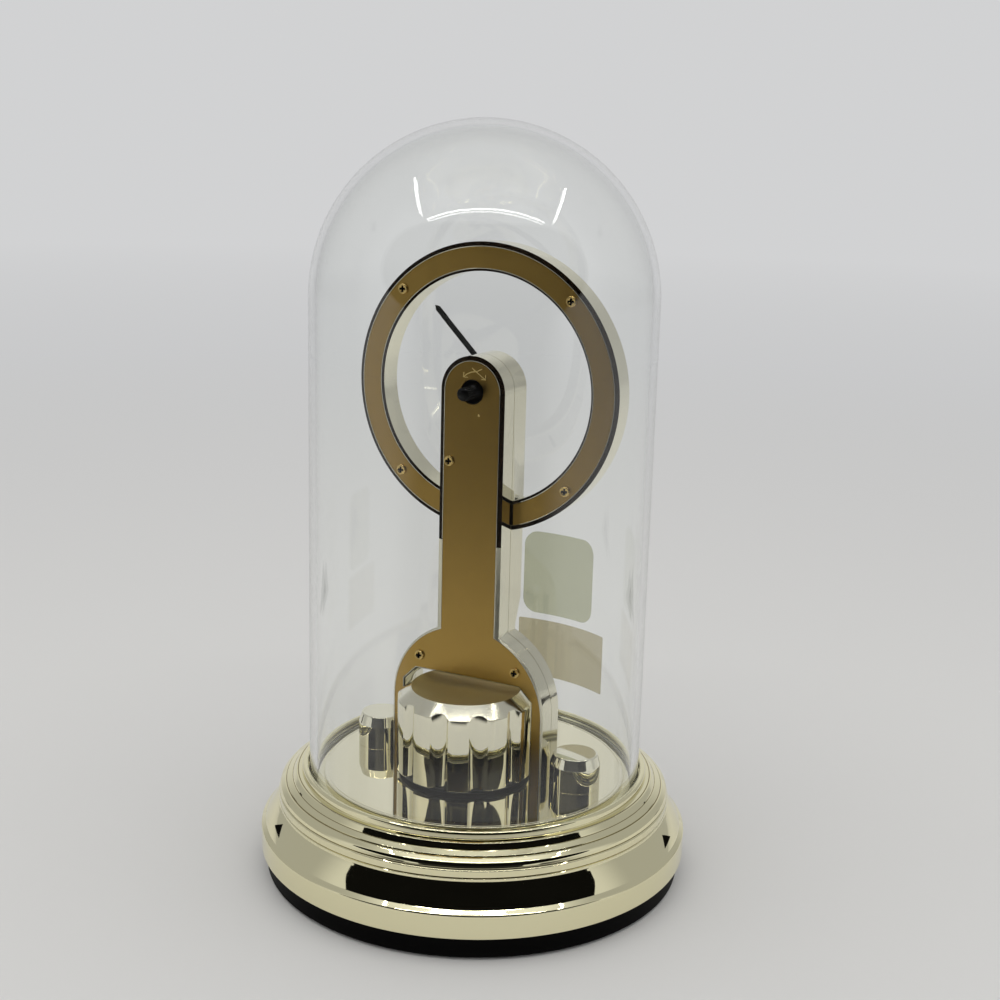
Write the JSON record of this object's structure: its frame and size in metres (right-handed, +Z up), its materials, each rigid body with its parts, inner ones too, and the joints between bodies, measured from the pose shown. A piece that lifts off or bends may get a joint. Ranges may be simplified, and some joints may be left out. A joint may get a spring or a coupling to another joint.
{
  "type": "desk pendulum clock",
  "caption": "Glass-domed desk clock: a round skeleton dial on a gold column, over a fluted revolving pendulum drum and a stepped round base.",
  "frame": {"origin": "centre of the underside of the base, where the clock stands", "axes": "+Z up, the dial faces -Y, the back of the clock faces +Y"},
  "size_m": [0.15, 0.15, 0.2587],
  "materials": {
    "polished_gold": "polished, lacquered",
    "satin_gold": "fine satin",
    "mirror_deck": "mirror polished",
    "black_plastic": "moulded satin black",
    "foot_rubber": "matte",
    "cushion_rubber": "matte",
    "clear_glass": "clear",
    "clear_film": "clear satin film",
    "steel": "plated",
    "screw_brass": "plated",
    "dial_paint": "satin ivory",
    "hand_black": "satin black",
    "white_nylon": "moulded natural",
    "circuit": "solder mask",
    "copper_wire": "enamelled wire",
    "magnet": "plated",
    "cell_jacket": "plain jacket",
    "contact_nickel": "nickel plated",
    "lead_sleeve": "soft sleeve",
    "turned_brass": "turned"
  },
  "bodies": {
    "clock": {"base_shell": "polished_gold", "base_pan": "black_plastic", "foot_pads": "foot_rubber", "pan_screws": "steel", "mirror_deck": "mirror_deck", "dome_cushion": "cushion_rubber", "left_post": "polished_gold", "right_post": "polished_gold", "post_screws": "steel", "column_front_shell": "polished_gold", "column_rear_shell": "polished_gold", "column_rear_cover": "satin_gold", "column_cover_screws": "screw_brass", "column_foot_screws": "steel", "dial_ring": "polished_gold", "ring_rear_cover": "satin_gold", "ring_cover_screws": "screw_brass", "dial_plate": "dial_paint", "hour_marks": "hand_black", "movement_front_plate": "black_plastic", "movement_case": "black_plastic", "movement_nut": "turned_brass", "movement_inner_plate": "white_nylon", "movement_circuit": "circuit", "motor_stator": "steel", "motor_coil": "copper_wire", "pivot_cup": "turned_brass", "drive_coil": "copper_wire", "drive_board": "circuit", "board_screws": "steel", "battery_holder": "black_plastic", "battery_cell": "cell_jacket", "battery_contacts": "contact_nickel", "movement_lead": "lead_sleeve"},
    "minute_works": {"minute_hand": "hand_black", "minute_arbor": "turned_brass", "hand_cap": "hand_black", "setting_knob": "black_plastic"},
    "hour_works": {"hour_hand": "hand_black", "hour_wheel": "white_nylon"},
    "motion_works": {"motion_wheel": "white_nylon"},
    "pendulum": {"pendulum_drum": "polished_gold", "pendulum_turntable": "black_plastic", "pendulum_spindle": "steel", "pendulum_magnets": "magnet"},
    "dome": {"glass_dome": "clear_glass", "square_film": "clear_film", "label_film": "clear_film"},
    "battery_cover": {"battery_door": "black_plastic"}
  },
  "joints": [
    {"name": "minute_turn", "type": "hinge", "parent": "clock", "child": "minute_works", "pos_m": [0, 0, 0.17035], "axis": [0, 1, 0], "continuous": true},
    {"name": "hour_turn", "type": "hinge", "parent": "clock", "child": "hour_works", "pos_m": [0, 0, 0.17035], "axis": [0, 1, 0], "continuous": true},
    {"name": "motion_turn", "type": "hinge", "parent": "clock", "child": "motion_works", "pos_m": [0, 0, 0.16435], "axis": [0, 1, 0], "continuous": true},
    {"name": "pendulum_turn", "type": "hinge", "parent": "clock", "child": "pendulum", "pos_m": [0, 0.0075, 0.05], "axis": [0, 0, 1], "range_deg": [-135, 135]},
    {"name": "dome_lift", "type": "slide", "parent": "clock", "child": "dome", "axis": [0, 0, 1], "range_m": [0, 0.2]},
    {"name": "battery_cover_slide", "type": "slide", "parent": "clock", "child": "battery_cover", "axis": [1, 0, 0], "range_m": [0, 0.008]}
  ],
  "couplings": [
    {"joint": "hour_turn", "follows": "minute_turn", "ratio": 0.083333},
    {"joint": "motion_turn", "follows": "minute_turn", "ratio": -0.33333}
  ]
}
